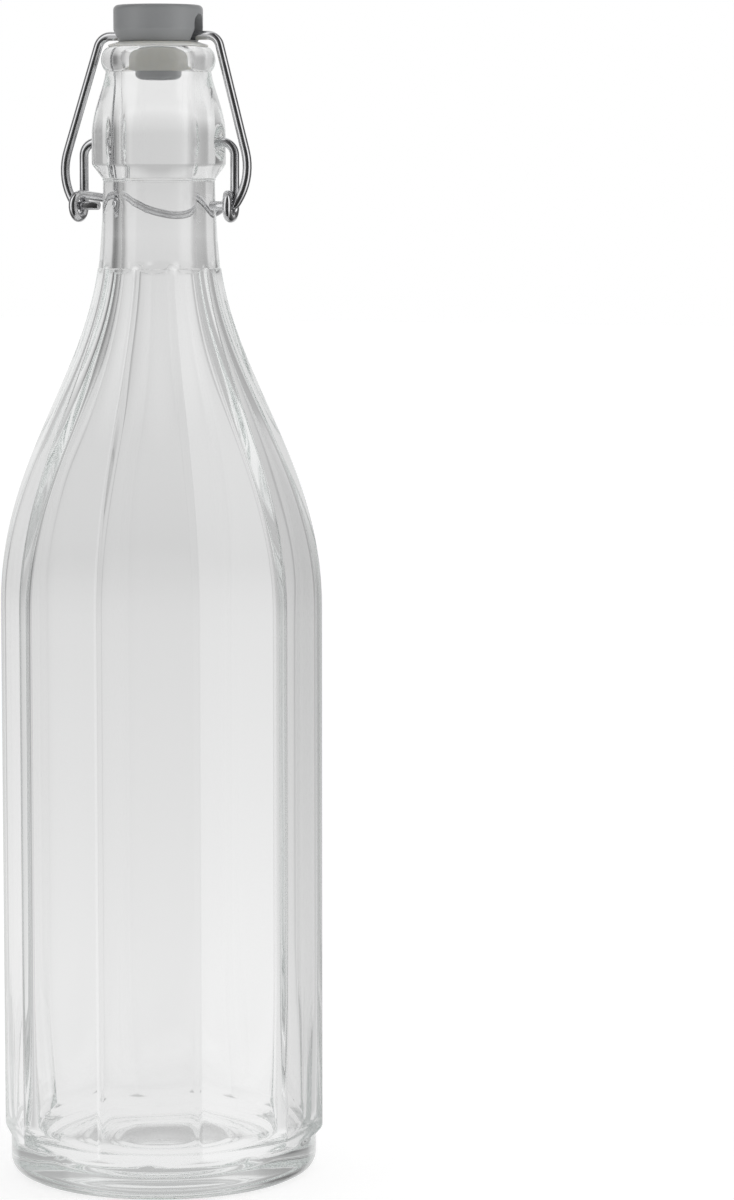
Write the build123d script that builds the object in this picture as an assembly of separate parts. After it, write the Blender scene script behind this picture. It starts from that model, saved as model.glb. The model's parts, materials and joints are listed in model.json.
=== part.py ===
"""Swing top bottle: a ten-sided glass bottle with a wire lever, a wire bail and a stopper with its gasket.

Millimetres. The origin is the centre of the base, +Z is up, and X is the line of the two dimples that the
lever pivots in. The lever's handle goes round the back of the neck, at +Y.
"""

from build123d import *
import math
import os

# Glass body
FACETS = 10
ARRIS_R = 43.0
FLAT_SHARE = math.cos(math.pi / FACETS)  # a flat's distance from the axis, as a share of its arris radius
SOFTEN = 0.35  # taken off the sharp arrises
BAND_R = 41.2
BAND_TOP_Z = 9.5
FLATS_START_Z = 10.8
FLATS_FULL_Z = 15.5
SHOULDER_START_Z = 153.0
FLATS_END_R = 16.4
FLATS_END_Z = 242.4
SHOULDER_LIFT = 37.0  # the outline's handle at the body end
NECK_LEAN = (4.2, -29.7)  # the outline's handle at the neck end

# Base
STANDING_RING_R = (34.0, 37.4)
HEEL_Z = 5.0
PUNT_RISE = 4.2
FLOOR_Z = 7.6
FLOOR_CROWN = 3.0

# Neck, collar and lip
NECK_TOP_R = 14.8
NECK_TOP_Z = 265.8
COLLAR_R = 17.7
COLLAR_START_Z = 270.2
COLLAR_END_Z = 276.5
GROOVE_R = 14.0
GROOVE_Z = 293.9
LIP_R = 15.05
LIP_MID_Z = 297.2
LIP_Z = 300.6
LAND_R = (12.0, 13.2)

# Cavity
BODY_BORE_R = 37.9
NECK_BORE_R = 10.0
BORE_START_Z = 250.0
MOUTH_START_Z = 298.2

# Pivot dimples
PIVOT_Z = 275.7
DIMPLE_WIDTH = 7.0
DIMPLE_HEIGHT = 8.8
DIMPLE_FLOOR_X = 14.8

# Lever wire
WIRE_R = 1.2
LEVER_END_X = 15.2
LEVER_LEG_X = 21.6
LEVER_BEND_R = 3.6
EYE_Y = -3.3
EYE_Z = 259.0
EYE_R = 3.2  # at the wire's centreline
EYE_BEND_R = 3.0
EYE_SHIFT = 0.5  # how far the turn winds outwards
HANDLE_R = 17.5
HANDLE_BACK_Z = 255.2
HANDLE_SWEEP = 1.4  # how late the handle drops to its back
HANDLE_SIDES = 5
HANDLE_CORNERS = 3  # on the right half, the last of them at the back
HANDLE_BEND_R = 15.6

# Bail wire
BAR_Y = 0.4
BAR_Z = 303.5
BAR_CORNER_X = 16.6
BAR_BEND_R = 3.6
LEG_KNEE_X = 27.4
LEG_KNEE_Z = 266.4
LEG_KNEE_R = 16.0
STUB_Y = -3.1
STUB_Z = 259.0
STUB_BEND_X = 22.8
STUB_BEND_R = 1.9
STUB_END_X = 15.9

# Stopper and gasket
HEAD_R = 11.8
HEAD_FOOT_R = 10.4
HEAD_TAPER_Z = 305.0
HEAD_FOOT_Z = 301.9
HEAD_TOP_Z = 311.5
HEAD_EDGE_R = 1.3
TUNNEL_WIDTH = 5.5
TUNNEL_TOP_Z = 309.2
TUNNEL_CLEARANCE = 0.06
STEM_R = 4.7
BUTTON_R = 6.1
BUTTON_TOP_Z = 294.6
BUTTON_Z = 291.4
BUTTON_EDGE_R = 1.0
GASKET_FLANGE_R = 12.6
GASKET_FLANGE_Z = 301.15
GASKET_RIM_Z = 301.55  # the flange's upper side slopes down to here
GASKET_SEAT_R = 11.0
GASKET_CONE_R = 9.3
GASKET_CONE_Z = 299.3
GASKET_FOOT_R = 6.0
GASKET_STEM_GAP = 0.05


def turned(edges):
    """The solid of revolution about Z of a closed outline of edges in the XZ plane."""
    return revolve(Plane.XZ * make_face(edges), Axis.Z)


def shoulder(radius_share=1.0, trim=0.0):
    """The outline of the shoulder, from the body up to where the flats end."""
    return Bezier(
        ((ARRIS_R - trim) * radius_share, SHOULDER_START_Z),
        ((ARRIS_R - trim) * radius_share, SHOULDER_START_Z + SHOULDER_LIFT),
        ((FLATS_END_R + NECK_LEAN[0] - trim) * radius_share, FLATS_END_Z + NECK_LEAN[1]),
        ((FLATS_END_R - trim) * radius_share, FLATS_END_Z),
    )


def flat_pair():
    """A slab with two opposite flats of the body as its sides."""
    half = shoulder(FLAT_SHARE)
    top = half @ 1
    bottom = half @ 0
    sides = half + mirror(half, Plane.YZ)
    ends = Line((-top.X, top.Y), (top.X, top.Y)) + Polyline(
        (bottom.X, bottom.Y),
        (bottom.X, FLATS_START_Z),
        (-bottom.X, FLATS_START_Z),
        (-bottom.X, bottom.Y),
    )
    return extrude(Plane.XZ * make_face(sides + ends), 1.2 * ARRIS_R, both=True)


def arris_limit():
    """A round solid that softens the arrises and rounds in their lower ends."""
    side = shoulder(trim=SOFTEN)
    top = side @ 1
    bottom = side @ 0
    toe = (BAND_R - SOFTEN, FLATS_START_Z)
    middle = (0.25 * toe[0] + 0.75 * bottom.X, 0.6 * FLATS_START_Z + 0.4 * FLATS_FULL_Z)
    return turned(
        side
        + Polyline((top.X, top.Y), (0, top.Y), (0, FLATS_START_Z), toe)
        + ThreePointArc(toe, middle, (bottom.X, FLATS_FULL_Z))
        + Line((bottom.X, FLATS_FULL_Z), (bottom.X, bottom.Y))
    )


def glass_bottle():
    """The ten-sided bottle, with its heel, neck, barrel collar and beaded lip."""
    slab = flat_pair()
    body = slab
    for turn in range(1, FACETS // 2):
        body = body & slab.rotate(Axis.Z, turn * 360 / FACETS)
    body = body & arris_limit()
    bottle = body + heel() + neck() - cavity()
    for side in (-1, 1):
        bottle = bottle - dimple(side)
    return bottle


def heel():
    """The round foot: a standing ring, a shallow punt and a band just proud of the flats."""
    inner, outer = STANDING_RING_R
    inside = BAND_R * FLAT_SHARE
    return turned(
        Line((0, FLATS_FULL_Z), (0, PUNT_RISE))
        + ThreePointArc((0, PUNT_RISE), (0.6 * inner, 0.75 * PUNT_RISE), (inner, 0))
        + Line((inner, 0), (outer, 0))
        + ThreePointArc((outer, 0), (BAND_R - 1.0, 0.36 * HEEL_Z), (BAND_R, HEEL_Z))
        + Polyline(
            (BAND_R, HEEL_Z),
            (BAND_R, BAND_TOP_Z),
            (inside, FLATS_START_Z + 0.6),
            (inside, FLATS_FULL_Z),
            (0, FLATS_FULL_Z),
        )
    )


def neck():
    """The round neck above the flats, with its collar, groove and lip."""
    foot = FLATS_END_R - 0.3
    swell = ThreePointArc(
        (COLLAR_R, COLLAR_END_Z),
        (16.35, 0.5 * (COLLAR_END_Z + GROOVE_Z)),
        (GROOVE_R, GROOVE_Z),
    )
    return turned(
        Line((0, FLATS_END_Z), (foot, FLATS_END_Z))
        + ThreePointArc((foot, FLATS_END_Z), (15.25, 252.2), (NECK_TOP_R, NECK_TOP_Z))
        + Polyline(
            (NECK_TOP_R, NECK_TOP_Z),
            (COLLAR_R, COLLAR_START_Z),
            (COLLAR_R, COLLAR_END_Z),
        )
        + swell
        + ThreePointArc((GROOVE_R, GROOVE_Z), (LIP_R, LIP_MID_Z), (LAND_R[1], LIP_Z))
        + Polyline((LAND_R[1], LIP_Z), (0, LIP_Z), (0, FLATS_END_Z))
    )


def cavity():
    """The space inside: a dished floor, round walls, a tapering shoulder and a flared mouth."""
    floor_edge_r = BODY_BORE_R - 9.0
    wall_z = FLOOR_Z + 8.0
    over_z = LIP_Z + 1.0
    return turned(
        Line((0, over_z), (0, FLOOR_Z + FLOOR_CROWN))
        + ThreePointArc(
            (0, FLOOR_Z + FLOOR_CROWN),
            (0.55 * floor_edge_r, FLOOR_Z + 0.7 * FLOOR_CROWN),
            (floor_edge_r, FLOOR_Z),
        )
        + ThreePointArc(
            (floor_edge_r, FLOOR_Z),
            (BODY_BORE_R - 2.4, FLOOR_Z + 2.6),
            (BODY_BORE_R, wall_z),
        )
        + Line((BODY_BORE_R, wall_z), (BODY_BORE_R, SHOULDER_START_Z))
        + Bezier(
            (BODY_BORE_R, SHOULDER_START_Z),
            (BODY_BORE_R, SHOULDER_START_Z + 34.0),
            (NECK_BORE_R, BORE_START_Z - 41.0),
            (NECK_BORE_R, BORE_START_Z),
        )
        + Line((NECK_BORE_R, BORE_START_Z), (NECK_BORE_R, MOUTH_START_Z))
        + ThreePointArc(
            (NECK_BORE_R, MOUTH_START_Z),
            (NECK_BORE_R + 0.6, LIP_Z - 0.7),
            (LAND_R[0], LIP_Z),
        )
        + Polyline((LAND_R[0], LIP_Z), (LAND_R[0], over_z), (0, over_z))
    )


def dimple(side):
    """The tall oval pocket in the collar that one end of the lever turns in."""
    opening = Plane(origin=(side * DIMPLE_FLOOR_X, 0, PIVOT_Z), x_dir=(0, 1, 0), z_dir=(side, 0, 0))
    return extrude(opening * Ellipse(DIMPLE_WIDTH / 2, DIMPLE_HEIGHT / 2), COLLAR_R)


def wire(half, radii):
    """A round wire of straight runs joined by tangent bends, the same each side of X = 0.

    half holds the points of the right half. Its last point may lie at X = 0, where the wire then bends too.
    """
    at_middle = abs(half[-1][0]) < 0.5 * WIRE_R
    other = [(-x, y, z) for x, y, z in reversed(half[:-1] if at_middle else half)]
    radii = radii + (radii[:-1] if at_middle else radii)[::-1]
    path = FilletPolyline(*half, *other, radius=radii)
    start = Plane(origin=path @ 0, z_dir=path % 0)
    return sweep(start * Circle(WIRE_R), path=path)


def lever_wire():
    """The lever: ends in the dimples, legs down to an eye each, and the handle round the neck."""
    low = EYE_Z - EYE_R
    high = EYE_Z + EYE_R
    back = EYE_Y + EYE_R
    front = EYE_Y - EYE_R
    half = [
        (LEVER_END_X, 0, PIVOT_Z),
        (LEVER_LEG_X, 0, PIVOT_Z),
        (LEVER_LEG_X, back, low),
        (LEVER_LEG_X + EYE_SHIFT / 2, front, low),
        (LEVER_LEG_X + EYE_SHIFT, front, high),
    ]
    radii = [LEVER_BEND_R] + 3 * [EYE_BEND_R]
    corner_r = HANDLE_R / math.cos(math.pi / HANDLE_SIDES / 2)
    for corner in range(HANDLE_CORNERS):
        turn = math.pi * (corner + 0.5) / HANDLE_SIDES
        drop = (high - HANDLE_BACK_Z) * math.sin(turn) ** HANDLE_SWEEP
        half.append((corner_r * math.cos(turn), corner_r * math.sin(turn), high - drop))
        radii.append(HANDLE_BEND_R)
    return wire(half, radii)


def bail_wire():
    """The bail: a bar through the stopper, splayed legs, and a stub turned in through each eye."""
    lean = (BAR_Y - STUB_Y) / (BAR_Z - STUB_Z)
    half = [
        (STUB_END_X, STUB_Y, STUB_Z),
        (STUB_BEND_X, STUB_Y, STUB_Z),
        (LEG_KNEE_X, STUB_Y + lean * (LEG_KNEE_Z - STUB_Z), LEG_KNEE_Z),
        (BAR_CORNER_X, BAR_Y, BAR_Z),
    ]
    radii = [STUB_BEND_R, LEG_KNEE_R, BAR_BEND_R]
    return wire(half, radii)


def stopper_cap():
    """The stopper: a head with a tunnel for the bail, a stem and the button that holds the gasket."""
    inside = HEAD_R - HEAD_EDGE_R
    tuck = BUTTON_R - BUTTON_EDGE_R
    slope = math.sqrt(0.5)
    solid = turned(
        Polyline(
            (0, BUTTON_Z),
            (0, HEAD_TOP_Z),
            (inside, HEAD_TOP_Z),
        )
        + ThreePointArc(
            (inside, HEAD_TOP_Z),
            (inside + HEAD_EDGE_R * slope, HEAD_TOP_Z - HEAD_EDGE_R * (1 - slope)),
            (HEAD_R, HEAD_TOP_Z - HEAD_EDGE_R),
        )
        + Polyline(
            (HEAD_R, HEAD_TOP_Z - HEAD_EDGE_R),
            (HEAD_R, HEAD_TAPER_Z),
            (HEAD_FOOT_R, HEAD_FOOT_Z),
            (STEM_R, HEAD_FOOT_Z),
            (STEM_R, BUTTON_TOP_Z),
            (BUTTON_R, BUTTON_TOP_Z),
            (BUTTON_R, BUTTON_Z + BUTTON_EDGE_R),
        )
        + ThreePointArc(
            (BUTTON_R, BUTTON_Z + BUTTON_EDGE_R),
            (tuck + BUTTON_EDGE_R * slope, BUTTON_Z + BUTTON_EDGE_R * (1 - slope)),
            (tuck, BUTTON_Z),
        )
        + Line((tuck, BUTTON_Z), (0, BUTTON_Z))
    )
    half = TUNNEL_WIDTH / 2
    floor = BAR_Z - WIRE_R - TUNNEL_CLEARANCE
    spring = TUNNEL_TOP_Z - half
    arch = make_face(
        Polyline((-half, spring), (-half, floor), (half, floor), (half, spring))
        + ThreePointArc((half, spring), (0, TUNNEL_TOP_Z), (-half, spring))
    )
    return solid - extrude(Plane.YZ * arch, 2 * HEAD_R, both=True)


def gasket():
    """The soft ring between head and button: a thin flange over the lip and a cone in the mouth."""
    bore = STEM_R + GASKET_STEM_GAP
    return turned(
        Polyline(
            (bore, BUTTON_TOP_Z),
            (GASKET_FOOT_R, BUTTON_TOP_Z),
            (GASKET_CONE_R, GASKET_CONE_Z),
            (GASKET_SEAT_R, GASKET_FLANGE_Z),
            (GASKET_FLANGE_R, GASKET_FLANGE_Z),
            (GASKET_FLANGE_R, GASKET_RIM_Z),
            (HEAD_FOOT_R, HEAD_FOOT_Z),
            (bore, HEAD_FOOT_Z),
            (bore, BUTTON_TOP_Z),
        )
    )


PARTS = {
    "glass_bottle": glass_bottle,
    "lever_wire": lever_wire,
    "bail_wire": bail_wire,
    "stopper_cap": stopper_cap,
    "gasket": gasket,
}


def main():
    os.makedirs("parts", exist_ok=True)
    for name, make in PARTS.items():
        export_step(make(), f"parts/{name}.step")


main()
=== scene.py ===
"""Looks of the swing top bottle: glass, wires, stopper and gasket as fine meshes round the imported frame, and
a white studio. Lengths are in metres; MM turns the millimetre sizes that follow into them."""

import json
import math

import bpy
import numpy as np
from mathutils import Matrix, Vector


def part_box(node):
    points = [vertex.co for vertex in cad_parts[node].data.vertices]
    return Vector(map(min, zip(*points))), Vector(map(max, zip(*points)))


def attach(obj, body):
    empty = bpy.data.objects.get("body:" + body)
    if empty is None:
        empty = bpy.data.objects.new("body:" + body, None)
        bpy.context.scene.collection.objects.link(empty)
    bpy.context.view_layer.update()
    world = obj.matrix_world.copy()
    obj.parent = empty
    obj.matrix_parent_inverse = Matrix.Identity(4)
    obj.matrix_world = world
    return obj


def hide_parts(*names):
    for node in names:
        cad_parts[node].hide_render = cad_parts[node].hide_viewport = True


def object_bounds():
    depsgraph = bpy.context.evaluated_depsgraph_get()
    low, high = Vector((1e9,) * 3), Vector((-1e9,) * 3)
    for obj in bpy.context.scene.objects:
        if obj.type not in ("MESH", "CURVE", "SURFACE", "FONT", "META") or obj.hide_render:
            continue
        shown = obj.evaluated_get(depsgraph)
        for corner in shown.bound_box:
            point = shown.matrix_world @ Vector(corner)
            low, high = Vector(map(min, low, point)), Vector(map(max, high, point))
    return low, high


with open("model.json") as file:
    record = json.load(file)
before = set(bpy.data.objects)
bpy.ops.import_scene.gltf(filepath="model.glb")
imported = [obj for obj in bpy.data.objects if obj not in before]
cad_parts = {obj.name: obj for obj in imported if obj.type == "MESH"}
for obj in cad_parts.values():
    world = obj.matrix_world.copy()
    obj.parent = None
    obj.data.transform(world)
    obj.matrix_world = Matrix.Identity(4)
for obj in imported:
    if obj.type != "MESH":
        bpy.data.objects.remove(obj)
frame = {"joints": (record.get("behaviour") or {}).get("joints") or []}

cad_low, cad_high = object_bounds()
MM = 0.001

# Places from the frame
JOINT_AT = {j["name"]: Vector(j["pos_m"]) for j in frame["joints"]}
PIVOT = JOINT_AT["lever_swing"]
STUB = JOINT_AT["bail_swing"]
BAR = JOINT_AT["stopper_swing"]
LIP_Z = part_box("glass_bottle")[1].z
HEAD_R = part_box("stopper_cap")[1].x
HEAD_TOP_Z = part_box("stopper_cap")[1].z

# Glass, outside
FLATS = 10
ARRIS_R = 43.0 * MM
ARRIS_ROUNDING = 0.06  # the arris's radius as a share of the flat's distance from the axis
INNER_ROUNDING = 0.16  # the same for the inside
BAND_R = 41.2 * MM
BAND_TOP_Z = 10.2 * MM
FLATS_FULL_Z = 16.5 * MM
SHOULDER_Z = 153.0 * MM
SHOULDER_LIFT = 37.0 * MM
FLATS_END_Z = 242.4 * MM
FLATS_END_R = 16.4 * MM
NECK_LEAN = (4.2 * MM, -29.7 * MM)  # from the flats' end to the shoulder curve's last handle
NECK_FOOT_R = 16.12 * MM
EDGE_WIDTH = 0.35 * MM  # how softly the arrises end in the band
STANDING_R = 34.0 * MM
PUNT_RISE = 4.2 * MM
PUNT_RING_R = 17.0 * MM
COLLAR_R = 17.7 * MM
LIP_CENTRE = (12.6 * MM, 297.1 * MM)
LIP_HALF = (2.47 * MM, 3.5 * MM)

# Glass, inside
BODY_BORE_R = 37.9 * MM
NECK_BORE_R = 10.0 * MM
BORE_Z = 250.0 * MM
FLOOR_Z = 7.6 * MM
FLOOR_CROWN = 3.0 * MM
FLOOR_CORNER = (9.0 * MM, 8.0 * MM)
MOUTH_FLARE = (2.2 * MM, 2.6 * MM)
MOUTH_FLARE_Z = 298.0 * MM

# Dimples in the collar
DIMPLE_FLOOR_X = 14.9 * MM
DIMPLE_HALF = (3.5 * MM, 4.4 * MM)
DIMPLE_DISH = 0.35 * MM
DIMPLE_RIM = (0.45, 1.1)  # where the side starts and ends, as shares of the half size
DIMPLE_SPAN = math.radians(15)

# Wires
WIRE_R = 1.2 * MM
WIRE_ENDS = ((0, 0.72), (0.04, 0.88), (0.14, 0.97))  # distance from the cut and size, as shares of the radius
RING_SIDES = 24
BEND_STEP = math.radians(5)
LEVER_END_X = 15.2 * MM
LEVER_LEG_X = 21.6 * MM
LEVER_BEND_R = 3.6 * MM
EYE_R = 3.2 * MM
EYE_BEND_R = 3.0 * MM
EYE_SHIFT = 0.5 * MM  # how far the turn winds outwards
EYE_OFFSET = 0.2 * MM  # how far the eye's middle is in front of the stub
HANDLE_R = 17.5 * MM
HANDLE_BACK_Z = 255.2 * MM
HANDLE_SWEEP = 1.4  # how late the handle drops to its back
HANDLE_SIDES = 5
HANDLE_BEND = 0.89  # its bends' radius as a share of its own
STUB_END_X = 15.9 * MM
STUB_BEND_X = 22.8 * MM
STUB_BEND_R = 1.9 * MM
LEG_KNEE_X = 27.4 * MM
LEG_KNEE_Z = 266.4 * MM
LEG_KNEE_R = 16.0 * MM
BAR_CORNER_X = 16.6 * MM
BAR_BEND_R = 3.6 * MM

# Tunnel through the stopper's head
TUNNEL_HALF = 2.75 * MM
TUNNEL_ROOF = 2.3 * MM
TUNNEL_CLEARANCE = 0.06 * MM
TUNNEL_EDGE = 0.35 * MM

LATHE_COLUMNS = 160


def bezier(points, steps):
    """Points along a cubic curve, both ends included."""
    t = np.linspace(0, 1, steps + 1)[:, None]
    a, b, c, d = (np.array(p, float) for p in points)
    return (1 - t) ** 3 * a + 3 * (1 - t) ** 2 * t * b + 3 * (1 - t) * t * t * c + t**3 * d


def smooth_step(low, high, value):
    """0 below low, 1 above high, and a soft rise between."""
    t = np.clip((value - low) / (high - low), 0, 1)
    return t * t * (3 - 2 * t)


def soft_min(a, b, width):
    """The smaller of two values, with a rounded meeting of the given width."""
    h = np.clip(0.5 + 0.5 * (b - a) / width, 0, 1)
    return b * (1 - h) + a * h - width * h * (1 - h)


def mesh_piece(name, vertices, faces, body, node, material):
    """A smooth mesh that rides on a body, stands for a CAD node and takes a material."""
    mesh = bpy.data.meshes.new(name)
    mesh.from_pydata([tuple(v) for v in vertices], [], faces)
    mesh.validate()
    mesh.shade_smooth()
    piece = bpy.data.objects.new(name, mesh)
    bpy.context.scene.collection.objects.link(piece)
    piece.data.materials.append(material)
    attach(piece, body)
    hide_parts(node)
    return piece


def lathe_faces(rows, columns):
    """Quads between rings of a closed lathe grid, and a fan at each end for its two pole points."""
    faces = []
    for row in range(rows - 1):
        for column in range(columns):
            beside = (column + 1) % columns
            low = row * columns
            faces.append((low + column, low + beside, low + columns + beside, low + columns + column))
    first_pole = rows * columns
    last_row = (rows - 1) * columns
    for column in range(columns):
        beside = (column + 1) % columns
        faces.append((first_pole, beside, column))
        faces.append((first_pole + 1, last_row + column, last_row + beside))
    return faces


# ---------------------------------------------------------------- glass


def flat_shape(angles, rounding):
    """How far a ten-sided outline is from the axis at each angle, as a share of its arris radius."""
    sector = 2 * math.pi / FLATS
    off = (angles + sector / 2) % sector - sector / 2
    core = 1 - rounding
    tangent = math.atan(core * math.tan(sector / 2))
    corner = core / math.cos(sector / 2)
    beside = sector / 2 - np.abs(off)
    along = corner * np.cos(beside)
    rounded = along + np.sqrt(np.maximum(rounding**2 - (corner * np.sin(beside)) ** 2, 0))
    flat = 1 / np.cos(off)
    return np.where(np.abs(off) < tangent, flat, rounded) / (corner + rounding)


def column_angles():
    """Angles of the glass's columns: closer together at each arris, and closest across the two dimples."""
    sector = 2 * math.pi / FLATS
    tangent = math.atan((1 - ARRIS_ROUNDING) * math.tan(sector / 2))
    angles = []
    for flat in range(FLATS):
        has_dimple = flat in (0, FLATS // 2)
        if has_dimple:
            inner = np.linspace(-DIMPLE_SPAN, DIMPLE_SPAN, 45)
        else:
            inner = np.linspace(-0.8 * tangent, 0.8 * tangent, 7)
        corner = np.linspace(tangent, sector - tangent, 11)
        near = np.array([0.88 * tangent, 0.94 * tangent])
        angles.extend(flat * sector + np.concatenate([-near, inner, near, corner]))
    return np.sort(np.array(angles) % (2 * math.pi))


def straight(start, end, spacing):
    """Points along a straight run, both ends included, about the spacing apart."""
    return np.linspace(start, end, int(math.dist(start, end) / spacing) + 1)


def oval(centre, half, degrees):
    """Points on an oval, or on a circle where both half sizes are the same, at the given angles."""
    turn = np.radians(degrees)
    return np.stack([centre[0] + half[0] * np.cos(turn), centre[1] + half[1] * np.sin(turn)], 1)


def base_rings():
    """The underside and heel as (r, z): a ringed punt, the standing ring, the parting step and the heel."""
    radii = np.linspace(1.5, 33.5, 20)
    dome = PUNT_RISE / MM * (1 - (radii / (STANDING_R / MM)) ** 2) ** 0.8
    punt = dome - 0.5 * np.exp(-(((radii - PUNT_RING_R / MM) / 1.2) ** 2))
    standing = [(34.1, 0.12), (34.6, 0)]
    parting = oval((37.1, 2.6), (2.6, 2.6), np.linspace(-90, -38, 9))
    heel = oval((36.9, 4.3), (4.3, 4.3), np.linspace(-49, 0, 11))
    return np.concatenate([np.stack([radii, punt], 1), standing, parting, heel]) * MM


def neck_rings():
    """The round neck, collar, groove and lip as (r, z), from the top of the flats to the mouth's edge."""
    neck = bezier([(16.1, 242.7), (15.4, 249), (14.85, 258), (14.8, 265.4)], 16)
    seam = [(14.82, 265.55), (15.08, 265.75), (14.86, 265.95)]
    chamfer = [(15.1, 266.3), (15.7, 267.1), (16.3, 267.9), (16.9, 268.7)]
    collar = COLLAR_R / MM
    shoulder = bezier([(17.2, 269.1), (17.5, 269.5), (collar, 269.9), (collar, 270.6)], 4)
    barrel = straight((collar, 271.0), (collar, 276.5), 0.4)
    swell = bezier([(collar, 276.9), (collar, 283.5), (14.9, 288.5), (14.05, 293.4)], 34)
    groove = [(13.98, 293.8)]
    lip = oval(LIP_CENTRE, LIP_HALF, np.linspace(-58, 84, 20)) / MM
    return np.concatenate([neck, seam, chamfer, shoulder, barrel, swell, groove, lip]) * MM


def mouth_rings():
    """From the lip's flat land down the flared mouth and the bore, as (r, z)."""
    bore = NECK_BORE_R / MM
    centre = (NECK_BORE_R + MOUTH_FLARE[0], MOUTH_FLARE_Z)
    flare = oval(centre, MOUTH_FLARE, np.linspace(90, 180, 12)) / MM
    return np.concatenate([flare, straight((bore, 297.4), (bore, 250.8), 5.0)]) * MM


def cavity_rings():
    """The inside of the shoulder, body and floor, as (r, z), going down."""
    bore, body = NECK_BORE_R / MM, BODY_BORE_R / MM
    start_z, turn_z, floor_z = BORE_Z / MM, SHOULDER_Z / MM, FLOOR_Z / MM
    shoulder = bezier([(bore, start_z), (bore, start_z - 41), (body, turn_z + 34), (body, turn_z)], 36)
    wall = straight((body, turn_z - 6), (body, floor_z + 8.5), 16.0)
    centre = (BODY_BORE_R - FLOOR_CORNER[0], FLOOR_Z + FLOOR_CORNER[1])
    corner = oval(centre, FLOOR_CORNER, np.linspace(-4, -90, 16)) / MM
    radii = np.linspace(27.5, 1.5, 16)
    crown = FLOOR_CROWN / MM * (1 - (radii / 29) ** 2) ** 1.5
    floor = np.stack([radii, floor_z + crown], 1)
    return np.concatenate([shoulder, wall, corner, floor]) * MM


def side_rings():
    """The ten-sided side: (arris radius, z) for each ring from the band to the top of the flats."""
    low = np.linspace(BAND_TOP_Z + 0.2 * MM, FLATS_FULL_Z, 18)
    body = np.linspace(FLATS_FULL_Z + 1.5 * MM, SHOULDER_Z, 14)
    shoulder = bezier(
        [
            (ARRIS_R, SHOULDER_Z),
            (ARRIS_R, SHOULDER_Z + SHOULDER_LIFT),
            (FLATS_END_R + NECK_LEAN[0], FLATS_END_Z + NECK_LEAN[1]),
            (FLATS_END_R, FLATS_END_Z),
        ],
        54,
    )
    straight = [(ARRIS_R, z) for z in np.concatenate([low, body])]
    return np.concatenate([straight, shoulder[1:]])


def foot_limit(z):
    """The radius that rounds in the lower ends of the arrises, at a height. At the top it is past them."""
    rise = np.clip((z - BAND_TOP_Z) / (FLATS_FULL_Z - BAND_TOP_Z), 0, 1)
    past_arris = 1.03 * ARRIS_R
    return BAND_R + (past_arris - BAND_R) * math.sqrt(1 - (1 - rise) ** 2)


def press_dimples(points):
    """Pushes in the two tall oval pockets at the ends of the pivot axis."""
    x, y, z = points[:, 0], points[:, 1], points[:, 2] - PIVOT.z
    reach = np.sqrt((y / DIMPLE_HALF[0]) ** 2 + (z / DIMPLE_HALF[1]) ** 2)
    keep = smooth_step(*DIMPLE_RIM, reach)
    near = (reach < DIMPLE_RIM[1]) & (np.abs(x) > DIMPLE_FLOOR_X)
    floor_x = DIMPLE_FLOOR_X + DIMPLE_DISH * np.minimum(reach, 1) ** 2
    points[:, 0] = np.where(near, np.sign(x) * (floor_x + (np.abs(x) - floor_x) * keep), x)
    return points


def make_glass(material):
    """One closed mesh: the whole outside from the underside to the lip, then bore, walls and floor inside."""
    angles = column_angles()
    shape = flat_shape(angles, ARRIS_ROUNDING)
    band = [(BAND_R, z) for z in np.linspace(5.3 * MM, BAND_TOP_Z - 0.2 * MM, 6)]
    rings = [(np.full_like(angles, r), z) for r, z in [*base_rings(), *band]]
    for arris, z in side_rings():
        rings.append((soft_min(arris * shape, foot_limit(z), EDGE_WIDTH), z))
    last = rings[-1][0]
    # The low step from the ends of the flats in to the round neck
    for share, lift in ((0.12, 0.06), (0.5, 0.14), (0.88, 0.22)):
        rings.append((last * (1 - share) + NECK_FOOT_R * share, FLATS_END_Z + lift * MM))
    rings += [(np.full_like(angles, r), z) for r, z in neck_rings()]
    outer_count = len(rings) * len(angles)
    rings += [(np.full_like(angles, r), z) for r, z in mouth_rings()]
    inner_shape = flat_shape(angles, INNER_ROUNDING)
    wave = inner_shape / inner_shape.mean() - 1
    # The inside softly follows the flats in the body, and is round in the neck and at the floor
    for r, z in cavity_rings():
        flatness = smooth_step(14 * MM, 30 * MM, r) * smooth_step(16 * MM, 40 * MM, z)
        rings.append((r * (1 + flatness * wave), z))
    vertices = np.concatenate(
        [np.stack([r * np.cos(angles), r * np.sin(angles), np.full_like(angles, z)], 1) for r, z in rings]
    )
    vertices[:outer_count] = press_dimples(vertices[:outer_count])
    poles = [(0, 0, rings[0][1]), (0, 0, rings[-1][1])]
    vertices = np.concatenate([vertices, poles])
    faces = lathe_faces(len(rings), len(angles))
    return mesh_piece("bottle_glass", vertices, faces, "bottle", "glass_bottle", material)


# ---------------------------------------------------------------- wires


def bent_path(points, radii):
    """A path of straight runs with each corner rounded to its radius."""
    points = [np.array(p, float) for p in points]
    path = [points[0]]
    for before, corner, after, radius in zip(points, points[1:], points[2:], radii):
        into = (corner - before) / np.linalg.norm(corner - before)
        out = (after - corner) / np.linalg.norm(after - corner)
        turn = math.acos(np.clip(into @ out, -1, 1))
        reach = radius * math.tan(turn / 2)
        centre = corner - into * reach + (out - into * (into @ out)) / math.sin(turn) * radius
        side = (corner - into * reach - centre) / radius
        steps = max(2, int(turn / BEND_STEP))
        for step in range(steps + 1):
            t = turn * step / steps
            path.append(centre + radius * (side * math.cos(t) + into * math.sin(t)))
    path.append(points[-1])
    kept = [path[0]]
    for point in path[1:]:
        if np.linalg.norm(point - kept[-1]) > 0.02 * MM:
            kept.append(point)
    return np.array(kept)


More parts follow.
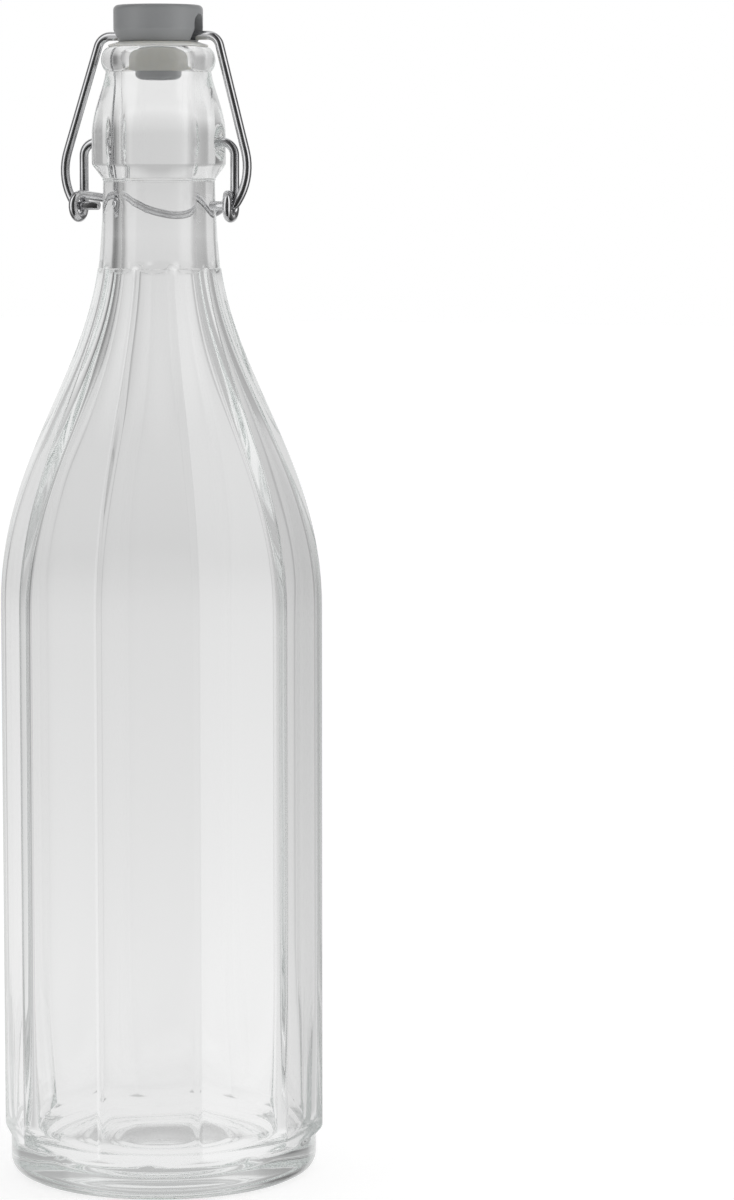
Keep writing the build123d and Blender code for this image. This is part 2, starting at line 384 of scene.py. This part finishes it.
def tube(path, radius):
    """Vertices and faces of a round wire along a path, with its cut ends slightly rounded."""
    along = np.gradient(path, axis=0)
    along /= np.linalg.norm(along, axis=1)[:, None]
    side = np.cross(along[0], (0, 0.3, 1))
    side /= np.linalg.norm(side)
    angles = np.linspace(0, 2 * math.pi, RING_SIDES, endpoint=False)
    stations = [(path[0] + along[0] * d * radius, s * radius, along[0]) for d, s in WIRE_ENDS]
    stations += [(point, radius, direction) for point, direction in zip(path[1:-1], along[1:-1])]
    stations += [(path[-1] - along[-1] * d * radius, s * radius, along[-1]) for d, s in WIRE_ENDS[::-1]]
    vertices = []
    for point, size, direction in stations:
        side = side - direction * (side @ direction)
        side /= np.linalg.norm(side)
        up = np.cross(direction, side)
        vertices.extend(point + size * (np.cos(a) * side + np.sin(a) * up) for a in angles)
    vertices += [path[0], path[-1]]
    return vertices, lathe_faces(len(stations), RING_SIDES)


def unroll(mesh, path):
    """A UV map for a tube: round the wire in turns, and along it in metres."""
    runs = np.linalg.norm(np.diff(path, axis=0), axis=1)
    ends = [0, runs.sum()]
    along = np.concatenate([[0, 0, 0], np.cumsum(runs)[:-1], 3 * [ends[1]]])
    sheet = mesh.uv_layers.new(name="wire")
    for face in mesh.polygons:
        corners = [mesh.loops[i].vertex_index for i in face.loop_indices]
        turns = [(v % RING_SIDES) / RING_SIDES for v in corners]
        wraps = max(turns) - min(turns) > 0.5
        for loop, vertex, turn in zip(face.loop_indices, corners, turns):
            station, pole = vertex // RING_SIDES, vertex - RING_SIDES * len(along)
            distance = along[station] if pole < 0 else ends[pole]
            sheet.data[loop].uv = (turn + (1 if wraps and turn < 0.5 else 0), distance)


def make_wire(name, half, radii, body, node, material):
    """A wire that is the same each side of X = 0. The last point of half may lie there."""
    at_middle = abs(half[-1][0]) < 0.5 * WIRE_R
    other = [(-x, y, z) for x, y, z in reversed(half[:-1] if at_middle else half)]
    radii = radii + (radii[:-1] if at_middle else radii)[::-1]
    path = bent_path(half + other, radii)
    vertices, faces = tube(path, WIRE_R)
    piece = mesh_piece(name, vertices, faces, body, node, material)
    unroll(piece.data, path)
    return piece


def make_lever(material):
    """The lever: ends in the dimples, a leg and an eye each side, and the handle round the neck's back."""
    eye_y = STUB.y - EYE_OFFSET
    low, high = STUB.z - EYE_R, STUB.z + EYE_R
    back, front = eye_y + EYE_R, eye_y - EYE_R
    half = [
        (LEVER_END_X, 0, PIVOT.z),
        (LEVER_LEG_X, 0, PIVOT.z),
        (LEVER_LEG_X, back, low),
        (LEVER_LEG_X + EYE_SHIFT / 2, front, low),
        (LEVER_LEG_X + EYE_SHIFT, front, high),
    ]
    radii = [LEVER_BEND_R] + 3 * [EYE_BEND_R]
    corner_r = HANDLE_R / math.cos(math.pi / HANDLE_SIDES / 2)
    for corner in range((HANDLE_SIDES + 1) // 2):
        turn = math.pi * (corner + 0.5) / HANDLE_SIDES
        drop = (high - HANDLE_BACK_Z) * math.sin(turn) ** HANDLE_SWEEP
        half.append((corner_r * math.cos(turn), corner_r * math.sin(turn), high - drop))
        radii.append(HANDLE_BEND * HANDLE_R)
    return make_wire("lever", half, radii, "lever", "lever_wire", material)


def make_bail(material):
    """The bail: a bar through the stopper, splayed legs, and a stub turned in through each eye."""
    lean = (BAR.y - STUB.y) / (BAR.z - STUB.z)
    half = [
        (STUB_END_X, STUB.y, STUB.z),
        (STUB_BEND_X, STUB.y, STUB.z),
        (LEG_KNEE_X, STUB.y + lean * (LEG_KNEE_Z - STUB.z), LEG_KNEE_Z),
        (BAR_CORNER_X, BAR.y, BAR.z),
    ]
    return make_wire("bail", half, [STUB_BEND_R, LEG_KNEE_R, BAR_BEND_R], "bail", "bail_wire", material)


# ---------------------------------------------------------------- stopper and gasket


def lathe(profile, columns):
    """Vertices and faces of a closed lathe of (r, z) points that starts and ends on the axis."""
    angles = np.linspace(0, 2 * math.pi, columns, endpoint=False)
    rings = profile[1:-1]
    vertices = [(r * math.cos(a), r * math.sin(a), z) for r, z in rings for a in angles]
    vertices += [(0, 0, profile[0][1]), (0, 0, profile[-1][1])]
    return vertices, lathe_faces(len(rings), columns)


def rounded(corners, radii):
    """An outline of (r, z) corners in millimetres, each rounded to its radius, as (r, z) in metres."""
    path = bent_path([(r, 0, z) for r, z in corners], radii)
    return [(r * MM, z * MM) for r, _, z in path]


def cut_tunnel(piece):
    """Cuts the arched tunnel for the bail through the head, and rounds its edges."""
    half, floor = TUNNEL_HALF, BAR.z - WIRE_R - TUNNEL_CLEARANCE
    spring = HEAD_TOP_Z - TUNNEL_ROOF - half
    arch = [(half, floor)]
    arch += [(half * math.cos(t), spring + half * math.sin(t)) for t in np.linspace(0, math.pi, 25)]
    arch.append((-half, floor))
    ends = (-1.5 * HEAD_R, 1.5 * HEAD_R)
    vertices = [(x, y, z) for x in ends for y, z in arch]
    count = len(arch)
    faces = [tuple(range(count))[::-1], tuple(range(count, 2 * count))]
    faces += [(i, (i + 1) % count, count + (i + 1) % count, count + i) for i in range(count)]
    mesh = bpy.data.meshes.new("tunnel_tool")
    mesh.from_pydata(vertices, [], faces)
    tool = bpy.data.objects.new("tunnel_tool", mesh)
    bpy.context.scene.collection.objects.link(tool)
    cut = piece.modifiers.new("tunnel", "BOOLEAN")
    cut.object = tool
    cut.operation = "DIFFERENCE"
    cut.solver = "EXACT"
    edge = piece.modifiers.new("edge", "BEVEL")
    edge.width = TUNNEL_EDGE
    edge.segments = 3
    edge.limit_method = "ANGLE"
    edge.angle_limit = math.radians(38)
    bpy.context.view_layer.update()
    shown = piece.evaluated_get(bpy.context.evaluated_depsgraph_get())
    made = bpy.data.meshes.new_from_object(shown)
    piece.modifiers.clear()
    piece.data = made
    bpy.data.objects.remove(tool)
    made.shade_smooth()
    made.set_sharp_from_angle(angle=math.radians(35))


def make_stopper(material):
    """The stopper: a head with a rolled top edge and a tapered foot, a stem and the button under it."""
    foot_z, top_z, head_r = 301.9, HEAD_TOP_Z / MM, HEAD_R / MM
    corners = [
        (0, 290.6), (6.1, 290.6), (6.1, 294.6), (4.7, 294.6), (4.7, foot_z), (10.4, foot_z),
        (head_r, 305.0), (head_r, top_z), (9.4, top_z), (9.0, top_z - 0.2), (0, top_z - 0.2),
    ]
    radii = [1.6, 0.3, 0.2, 0.2, 0.5, 1.2, 1.3, 0.3, 0.3]
    vertices, faces = lathe(rounded(corners, radii), LATHE_COLUMNS)
    piece = mesh_piece("stopper", vertices, faces, "stopper", "stopper_cap", material)
    cut_tunnel(piece)
    return piece


def make_gasket(material):
    """The soft ring: a thin flange that slopes down to its rim over the lip, and a cone in the mouth."""
    corners = [
        (4.76, 297.5), (4.76, 294.62), (6.0, 294.62), (8.3, 298.4), (11.4, 300.62),
        (13.2, 300.6), (13.2, 301.1), (10.5, 301.88), (4.76, 301.88), (4.76, 297.5),
    ]
    radii = [0.05, 0.6, 2.5, 0.8, 0.22, 0.22, 1.0, 0.05]
    rings = rounded(corners, radii)[:-1]
    angles = np.linspace(0, 2 * math.pi, LATHE_COLUMNS, endpoint=False)
    vertices = [(r * math.cos(a), r * math.sin(a), z) for r, z in rings for a in angles]
    faces = []
    for row in range(len(rings)):
        low, high = row * LATHE_COLUMNS, (row + 1) % len(rings) * LATHE_COLUMNS
        for column in range(LATHE_COLUMNS):
            beside = (column + 1) % LATHE_COLUMNS
            faces.append((low + column, low + beside, high + beside, high + column))
    return mesh_piece("seal", vertices, faces, "stopper", "gasket", material)


# ---------------------------------------------------------------- materials


def new_material(name):
    """A node material with only its Principled shader and output."""
    material = bpy.data.materials.new(name)
    material.use_nodes = True
    tree = material.node_tree
    return material, tree, tree.nodes["Principled BSDF"]


def noise(tree, scale, detail, stretch=(1, 1, 1), space="Object"):
    """Noise in object space, in cycles per metre, or in the UV map, stretched along its axes."""
    place = tree.nodes.new("ShaderNodeTexCoord")
    mapping = tree.nodes.new("ShaderNodeMapping")
    mapping.inputs["Scale"].default_value = stretch
    texture = tree.nodes.new("ShaderNodeTexNoise")
    texture.inputs["Scale"].default_value = scale
    texture.inputs["Detail"].default_value = detail
    tree.links.new(place.outputs[space], mapping.inputs["Vector"])
    tree.links.new(mapping.outputs["Vector"], texture.inputs["Vector"])
    return texture


def ramp(tree, source, stops):
    """A ramp of (position, value) stops fed by a number, where a value is a grey level or a colour."""
    node = tree.nodes.new("ShaderNodeValToRGB")
    elements = node.color_ramp.elements
    while len(elements) > 1:
        elements.remove(elements[-1])
    for index, (position, value) in enumerate(stops):
        element = elements[0] if index == 0 else elements.new(position)
        element.position = position
        colour = value if isinstance(value, tuple) else (value, value, value)
        element.color = (*colour, 1)
    tree.links.new(source, node.inputs["Fac"])
    return node


def mix(tree, first, second, factor, blend="MIX"):
    """A mix of two colours, each a socket or a value, by a factor that is either too."""
    node = tree.nodes.new("ShaderNodeMix")
    node.data_type = "RGBA"
    node.blend_type = blend
    for index, value in ((0, factor), (6, first), (7, second)):
        if isinstance(value, bpy.types.NodeSocket):
            tree.links.new(value, node.inputs[index])
        else:
            node.inputs[index].default_value = value
    return node.outputs[2]


def bump(tree, shader, source, distance, strength):
    """A bump from a height into the shader's normal."""
    node = tree.nodes.new("ShaderNodeBump")
    node.inputs["Strength"].default_value = strength
    node.inputs["Distance"].default_value = distance
    tree.links.new(source, node.inputs["Height"])
    tree.links.new(node.outputs["Normal"], shader.inputs["Normal"])


def glass_material():
    """Clear soda glass with the slow ripple of a mould and a trace of grey-green in its depth."""
    material, tree, shader = new_material("clear_glass")
    shader.inputs["Base Color"].default_value = (1, 1, 1, 1)
    shader.inputs["Transmission Weight"].default_value = 1
    shader.inputs["Roughness"].default_value = 0.0
    shader.inputs["IOR"].default_value = 1.51
    ripple = noise(tree, 38, 1.5, (1, 1, 0.35))
    bump(tree, shader, ripple.outputs["Fac"], 0.4 * MM, 0.1)
    depth = tree.nodes.new("ShaderNodeVolumeAbsorption")
    depth.inputs["Color"].default_value = (0.74, 0.8, 0.78, 1)
    depth.inputs["Density"].default_value = 2.0
    tree.links.new(depth.outputs["Volume"], tree.nodes["Material Output"].inputs["Volume"])
    return material


def wire_material():
    """Bright drawn steel: fine lines along the draw, faint handling marks and duller patches."""
    material, tree, shader = new_material("drawn_steel")
    shader.inputs["Metallic"].default_value = 1
    tone = noise(tree, 160, 3)
    tint = ramp(tree, tone.outputs["Fac"], [(0.3, (0.56, 0.56, 0.57)), (0.7, (0.68, 0.68, 0.69))])
    tree.links.new(tint.outputs["Color"], shader.inputs["Base Color"])
    wear = noise(tree, 420, 4)
    rough = ramp(tree, wear.outputs["Fac"], [(0.35, 0.13), (0.7, 0.24)])
    tree.links.new(rough.outputs["Color"], shader.inputs["Roughness"])
    lines = noise(tree, 1, 2, (16, 60, 1), "UV")
    bump(tree, shader, lines.outputs["Fac"], 0.02 * MM, 0.14)
    return material


def stopper_material():
    """Grey satin moulding with a faint orange peel. Below the head its colour is painted paler: painted light
    that stands in for the lamps' light, which the glass round it keeps out."""
    material, tree, shader = new_material("grey_moulding")
    tone = noise(tree, 60, 2)
    tint = ramp(tree, tone.outputs["Fac"], [(0.3, (0.285, 0.291, 0.298)), (0.7, (0.312, 0.318, 0.324))])
    place = tree.nodes.new("ShaderNodeTexCoord")
    split = tree.nodes.new("ShaderNodeSeparateXYZ")
    tree.links.new(place.outputs["Object"], split.inputs["Vector"])
    # Painted light: below 296 mm the grey is multiplied up to 1.75 times paler, standing in for lamp light
    # that the glass keeps out
    lift = ramp(tree, split.outputs["Z"], [(296 * MM, 1.75), (300 * MM, 1)])
    tone_times_painted_light = mix(tree, tint.outputs["Color"], lift.outputs["Color"], 1, "MULTIPLY")
    tree.links.new(tone_times_painted_light, shader.inputs["Base Color"])
    shader.inputs["Subsurface Weight"].default_value = 0.15
    shader.inputs["Subsurface Radius"].default_value = (1, 1, 1)
    shader.inputs["Subsurface Scale"].default_value = 0.6 * MM
    wear = noise(tree, 240, 3)
    rough = ramp(tree, wear.outputs["Fac"], [(0.35, 0.36), (0.7, 0.46)])
    tree.links.new(rough.outputs["Color"], shader.inputs["Roughness"])
    peel = noise(tree, 700, 2)
    bump(tree, shader, peel.outputs["Fac"], 0.03 * MM, 0.2)
    return material


def gasket_material():
    """Soft cream rubber that light passes into."""
    material, tree, shader = new_material("cream_rubber")
    tone = noise(tree, 120, 2)
    tint = ramp(tree, tone.outputs["Fac"], [(0.3, (0.84, 0.835, 0.77)), (0.7, (0.89, 0.885, 0.82))])
    tree.links.new(tint.outputs["Color"], shader.inputs["Base Color"])
    shader.inputs["Subsurface Weight"].default_value = 0.7
    shader.inputs["Subsurface Radius"].default_value = (1, 0.95, 0.85)
    shader.inputs["Subsurface Scale"].default_value = 3.0 * MM
    shader.inputs["Roughness"].default_value = 0.42
    skin = noise(tree, 500, 3)
    bump(tree, shader, skin.outputs["Fac"], 0.04 * MM, 0.3)
    return material


# ---------------------------------------------------------------- studio


CAMERA_AZIMUTH = math.radians(23)  # from straight in front (-Y), round towards +X
CAMERA_DISTANCE = 1.083
CAMERA_HEIGHT = 0.267
CAMERA_PITCH = math.radians(5.96)
CAMERA_YAW = math.radians(2.91)  # how far the camera points to the right of the bottle
LENS_MM = 122.1


def make_camera():
    """The camera, level with the upper body and a little to the side, as the closure is seen."""
    data = bpy.data.cameras.new("camera")
    data.lens = LENS_MM
    data.sensor_width = 36
    data.clip_start = 0.05
    data.clip_end = 50
    camera = bpy.data.objects.new("camera", data)
    bpy.context.scene.collection.objects.link(camera)
    away = Vector((math.sin(CAMERA_AZIMUTH), -math.cos(CAMERA_AZIMUTH), 0))
    camera.location = away * CAMERA_DISTANCE + Vector((0, 0, CAMERA_HEIGHT))
    heading = CAMERA_AZIMUTH - CAMERA_YAW
    aim = Vector((-math.sin(heading), math.cos(heading), -math.tan(CAMERA_PITCH)))
    camera.rotation_mode = "QUATERNION"
    camera.rotation_quaternion = aim.to_track_quat("-Z", "Y")
    bpy.context.scene.camera = camera


def make_world():
    """A white tent. What the camera sees, what shows through glass, what glints and what lights are apart."""
    world = bpy.data.worlds.new("studio")
    bpy.context.scene.world = world
    world.use_nodes = True
    world.cycles.sampling_method = "NONE"
    tree = world.node_tree
    nodes, links = tree.nodes, tree.links
    nodes.clear()
    place = nodes.new("ShaderNodeTexCoord")
    split = nodes.new("ShaderNodeSeparateXYZ")
    links.new(place.outputs["Generated"], split.inputs["Vector"])

    def number(operation, *values):
        """A Math node's result from sockets and plain numbers."""
        node = nodes.new("ShaderNodeMath")
        node.operation = operation
        for socket, value in zip(node.inputs, values):
            if isinstance(value, bpy.types.NodeSocket):
                links.new(value, socket)
            else:
                socket.default_value = value
        return node.outputs["Value"]

    height = number("MULTIPLY_ADD", split.outputs["Z"], 0.5, 0.5)
    turn = number("ARCTAN2", split.outputs["Y"], split.outputs["X"])
    around = number("MULTIPLY_ADD", turn, 0.5 / math.pi, 0.5)

    def sky(heights, bands):
        """Levels by height, times each band's levels by turn as far as its reach by height says."""
        product = ramp(tree, height, heights).outputs["Color"]
        for turns, reach in bands:
            levels = ramp(tree, around, turns).outputs["Color"]
            product = mix(tree, product, levels, ramp(tree, height, reach).outputs["Color"], "MULTIPLY")
        return product

    def strips(levels):
        """Turn stops from (degrees from the camera's side, level), going round anticlockwise from above."""
        start = math.degrees(CAMERA_AZIMUTH) - 90
        stops = sorted((((start + degrees + 180) / 360) % 1, level) for degrees, level in levels)
        return [(0, stops[0][1]), *stops, (1, stops[-1][1])]

    everywhere = [(0.0, 1.0), (1.0, 1.0)]
    low_panels = strips([
        (-180, 1), (-158, 0.95), (-152, 0.7), (-147, 0.36), (-138, 0.24), (-128, 0.4), (-118, 0.65),
        (-90, 0.85), (-70, 1), (70, 1), (90, 0.85), (115, 0.7), (140, 0.62), (150, 0.65), (160, 1), (179, 1),
    ])
    dim_front = strips([(-100, 1), (-80, 0.85), (-60, 0.72), (0, 0.6), (60, 0.72), (80, 0.85), (100, 1)])
    bright_sides = strips([
        (-178, 1), (-148, 1), (-138, 0.2), (-110, 0.2), (-82, 0.35), (-74, 1.5), (-50, 1.5), (-44, 0.3),
        (-26, 0.1), (0, 0.04), (24, 0.06), (38, 0.3), (46, 1.6), (70, 1.6), (78, 0.3), (100, 0.15),
        (138, 0.15), (148, 1), (178, 1),
    ])
    soft_left = strips([(-170, 0.9), (-90, 0.7), (-30, 0.55), (20, 0.6), (60, 0.9), (90, 1.0), (170, 0.9)])
    through = sky(
        [
            (0.0, 0.88), (0.3, 0.86), (0.37, 0.84), (0.4, 0.88), (0.425, 0.81), (0.45, 0.76), (0.49, 0.68),
            (0.56, 0.68), (0.6, 0.55), (0.65, 0.55), (0.7, 0.84), (1.0, 0.86),
        ],
        [
            (low_panels, [(0.3, 0), (0.42, 0.7), (0.46, 1), (0.56, 1), (0.61, 0.4), (0.75, 0.2)]),
            (dim_front, [(0.1, 0), (0.25, 1), (0.75, 1), (0.9, 0)]),
        ],
    )
    glint = sky(
        [
            (0.0, 0.3), (0.2, 0.45), (0.36, 0.92), (0.41, 0.92), (0.46, 0.78), (0.5, 0.85), (0.7, 0.95),
            (0.85, 1.0), (1.0, 0.8),
        ],
        [(bright_sides, everywhere)],
    )
    light = sky(
        [(0.0, 1.3), (0.45, 1.1), (0.53, 0.62), (0.8, 0.6), (1.0, 0.9)],
        [(soft_left, everywhere)],
    )
    path = nodes.new("ShaderNodeLightPath")
    seen = mix(tree, light, glint, path.outputs["Is Glossy Ray"])
    seen = mix(tree, seen, through, path.outputs["Is Transmission Ray"])
    seen = mix(tree, seen, light, path.outputs["Diffuse Depth"])
    seen = mix(tree, seen, (1, 1, 1, 1), path.outputs["Is Camera Ray"])
    background = nodes.new("ShaderNodeBackground")
    links.new(seen, background.inputs["Color"])
    output = nodes.new("ShaderNodeOutputWorld")
    links.new(background.outputs["Background"], output.inputs["Surface"])


def make_floor():
    """A wide pale floor that takes only a soft shadow."""
    half = 6.0
    z = cad_low.z - 0.02 * MM
    corners = [(-half, -half, z), (half, -half, z), (half, half, z), (-half, half, z)]
    mesh = bpy.data.meshes.new("floor")
    mesh.from_pydata(corners, [], [(0, 1, 2, 3)])
    floor = bpy.data.objects.new("floor", mesh)
    bpy.context.scene.collection.objects.link(floor)
    material, _, shader = new_material("pale_floor")
    shader.inputs["Base Color"].default_value = (0.42, 0.42, 0.42, 1)
    shader.inputs["Roughness"].default_value = 0.9
    shader.inputs["Emission Color"].default_value = (1, 1, 1, 1)
    shader.inputs["Emission Strength"].default_value = 0.76
    mesh.materials.append(material)
    floor.visible_transmission = False
    floor.visible_glossy = False


def make_lights():
    """Two large soft lamps, high at the left and low at the right."""
    for name, degrees, height, size, power in (("left", -65, 0.75, 0.5, 0.3), ("right", 75, 0.5, 0.4, 1.2)):
        data = bpy.data.lights.new(name, "AREA")
        data.shape = "RECTANGLE"
        data.size = size
        data.size_y = 1.6 * size
        data.energy = power
        lamp = bpy.data.objects.new(name, data)
        bpy.context.scene.collection.objects.link(lamp)
        turn = CAMERA_AZIMUTH + math.radians(degrees)
        lamp.location = Vector((math.sin(turn), -math.cos(turn), height))
        target = Vector((0, 0, 0.75 * LIP_Z))
        lamp.rotation_mode = "QUATERNION"
        lamp.rotation_quaternion = (target - lamp.location).to_track_quat("-Z", "Y")
        lamp.visible_camera = False
        lamp.visible_transmission = False
        lamp.visible_glossy = False


make_camera()
make_world()
make_floor()
make_lights()

steel = wire_material()
make_glass(glass_material())
make_lever(steel)
make_bail(steel)
make_stopper(stopper_material())
make_gasket(gasket_material())

scene = bpy.context.scene
scene.view_settings.view_transform = "Standard"
# Light that is caught in the thick arrises and base needs this many turns to come out
scene.cycles.max_bounces = 64
scene.cycles.transmission_bounces = 64
scene.cycles.glossy_bounces = 64

bpy.context.view_layer.update()
